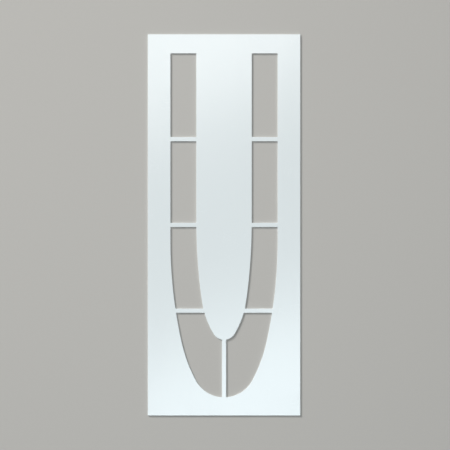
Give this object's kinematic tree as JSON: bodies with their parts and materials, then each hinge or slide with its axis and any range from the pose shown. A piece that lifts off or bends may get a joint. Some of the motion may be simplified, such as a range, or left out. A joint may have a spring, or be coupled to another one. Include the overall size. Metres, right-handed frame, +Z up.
{
  "type": "road marking stencil",
  "caption": "Flat white polyethylene stencil sheet with an elongated capital U cut through it, for painting the letter on a road.",
  "frame": {"origin": "middle of the sheet's underside, on the road", "axes": "+X across the letter to its reading right, +Y up the letter towards its top, +Z up from the road"},
  "size_m": [0.4064, 1.016, 0.0032],
  "materials": {
    "white_polyethylene": "satin"
  },
  "bodies": {
    "root": {"stencil_sheet": "white_polyethylene"}
  },
  "joints": []
}
